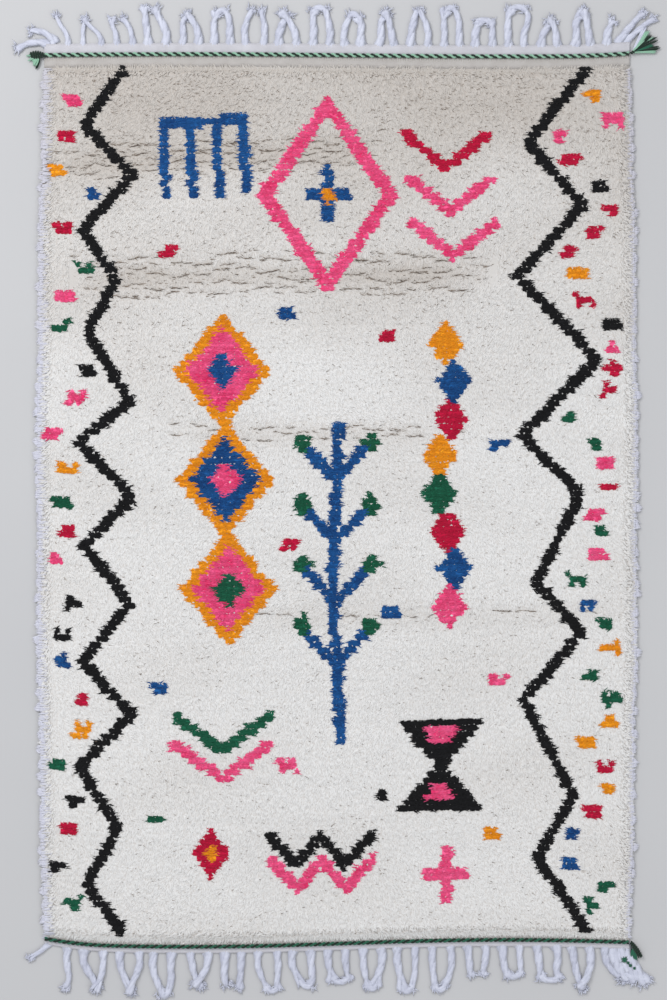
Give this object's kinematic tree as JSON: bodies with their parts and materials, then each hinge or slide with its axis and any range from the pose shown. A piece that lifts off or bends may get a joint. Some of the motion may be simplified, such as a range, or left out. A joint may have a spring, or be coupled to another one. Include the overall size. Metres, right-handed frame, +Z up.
{
  "type": "hand-knotted rug",
  "caption": "Ivory wool shag rug with coloured traditional motifs, a twined green cord and knotted fringe at each end, lying flat on the floor.",
  "frame": {"origin": "middle of the rug's underside, fringe and corner tassels included, on the floor", "axes": "+X across the rug to its right side, +Y along it towards its head end, +Z up off the floor"},
  "size_m": [1.6938, 2.5954, 0.0218],
  "materials": {
    "ivory_wool": "matte long wool pile, undyed ivory",
    "fringe_wool": "soft white wool fringe and web",
    "green_wool": "dark and light green wool, in the twined cords, the tassels and a little of the pile",
    "black_wool": "matte black wool pile",
    "pink_wool": "matte bright pink wool pile",
    "crimson_wool": "matte crimson wool pile",
    "blue_wool": "matte deep blue wool pile",
    "yellow_wool": "matte yellow-orange wool pile"
  },
  "bodies": {
    "root": {"knotted_cloth": "ivory_wool", "fringed_web_head": "fringe_wool", "fringed_web_foot": "fringe_wool", "twined_cord_head": "green_wool", "twined_cord_foot": "green_wool", "tassel_head_left": "green_wool", "tassel_head_right": "green_wool", "tassel_foot_right": "green_wool"}
  },
  "joints": []
}
